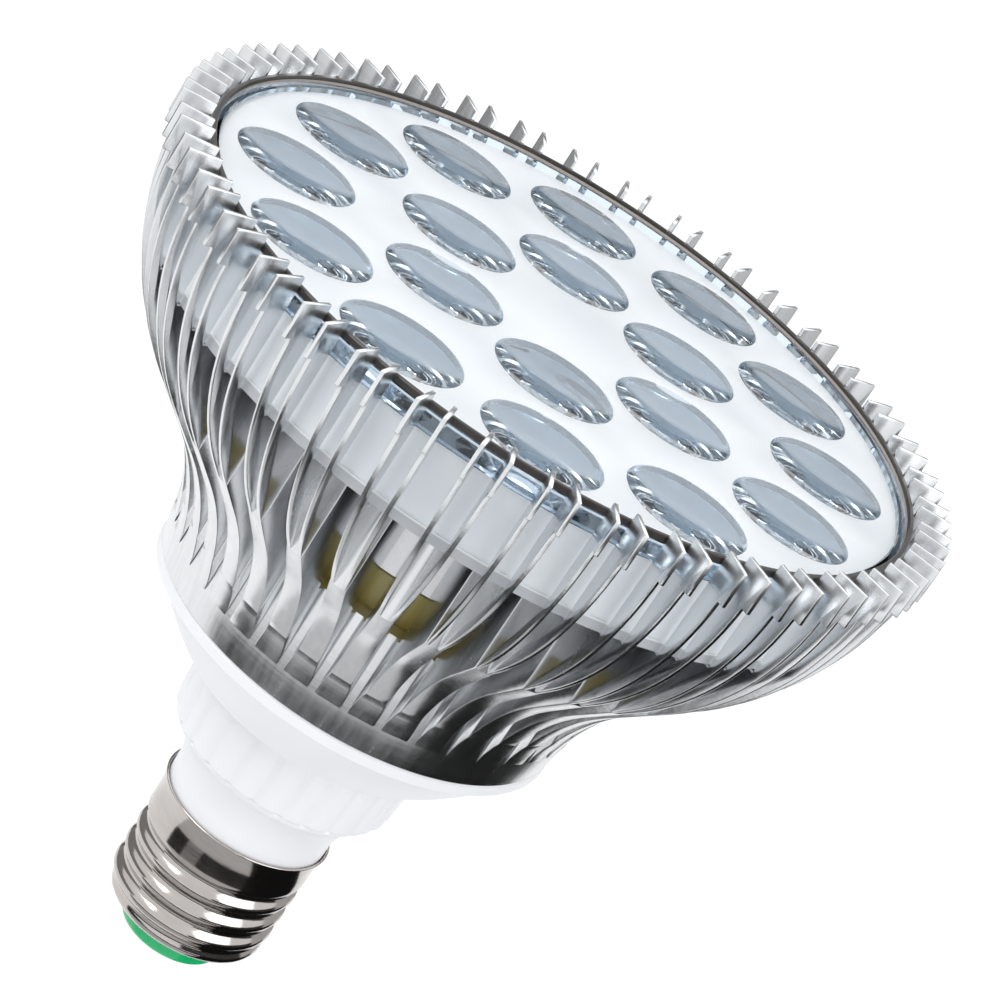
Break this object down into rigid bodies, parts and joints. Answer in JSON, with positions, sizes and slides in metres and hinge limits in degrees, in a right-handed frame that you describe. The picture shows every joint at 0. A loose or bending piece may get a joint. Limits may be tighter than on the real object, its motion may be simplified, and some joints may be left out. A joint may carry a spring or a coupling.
{
  "type": "par bulb",
  "caption": "Reflector-shaped LED bulb with a screw base, a white base housing, forked radial aluminium fins and a clear plate of collimating lenses.",
  "frame": {"origin": "tip of the centre contact, on the bulb's axis", "axes": "+Z along the axis from the contact towards the light face; +X through the centre of one outer and one inner lens"},
  "size_m": [0.122, 0.122, 0.1194],
  "materials": {
    "heat_sink": "bright extruded and turned",
    "thermal_slug": "turned",
    "thermal_pad": "matt",
    "led_board": "white solder mask",
    "leds": "phosphor under silicone",
    "board_screws": "zinc plated",
    "lens_plate": "clear moulded",
    "retaining_ring": "dark",
    "base_housing": "fine satin",
    "screw_shell": "nickel plated",
    "shell_insulator": "fused glass",
    "centre_contact": "plain",
    "contact_solder": "tinned",
    "insulating_cup": "amber sheet",
    "driver_board": "laminate",
    "transformer_core": "ferrite",
    "transformer_winding": "taped",
    "input_capacitor": "sleeved",
    "output_capacitor": "sleeved",
    "film_capacitor": "dipped",
    "bridge_rectifier": "moulded",
    "controller_chip": "moulded",
    "fuse_resistor": "lacquered",
    "drum_inductor": "ferrite",
    "led_leads": "insulated wire",
    "line_lead": "insulated wire",
    "neutral_lead": "insulated wire"
  },
  "bodies": {
    "root": {"heat_sink": "heat_sink", "thermal_slug": "thermal_slug", "thermal_pad": "thermal_pad", "led_board": "led_board", "leds": "leds", "board_screws": "board_screws", "lens_plate": "lens_plate", "retaining_ring": "retaining_ring", "base_housing": "base_housing", "screw_shell": "screw_shell", "shell_insulator": "shell_insulator", "centre_contact": "centre_contact", "contact_solder": "contact_solder", "insulating_cup": "insulating_cup", "driver_board": "driver_board", "transformer_core": "transformer_core", "transformer_winding": "transformer_winding", "input_capacitor": "input_capacitor", "output_capacitor": "output_capacitor", "film_capacitor": "film_capacitor", "bridge_rectifier": "bridge_rectifier", "controller_chip": "controller_chip", "fuse_resistor": "fuse_resistor", "drum_inductor": "drum_inductor", "led_leads": "led_leads", "line_lead": "line_lead", "neutral_lead": "neutral_lead"}
  },
  "joints": []
}
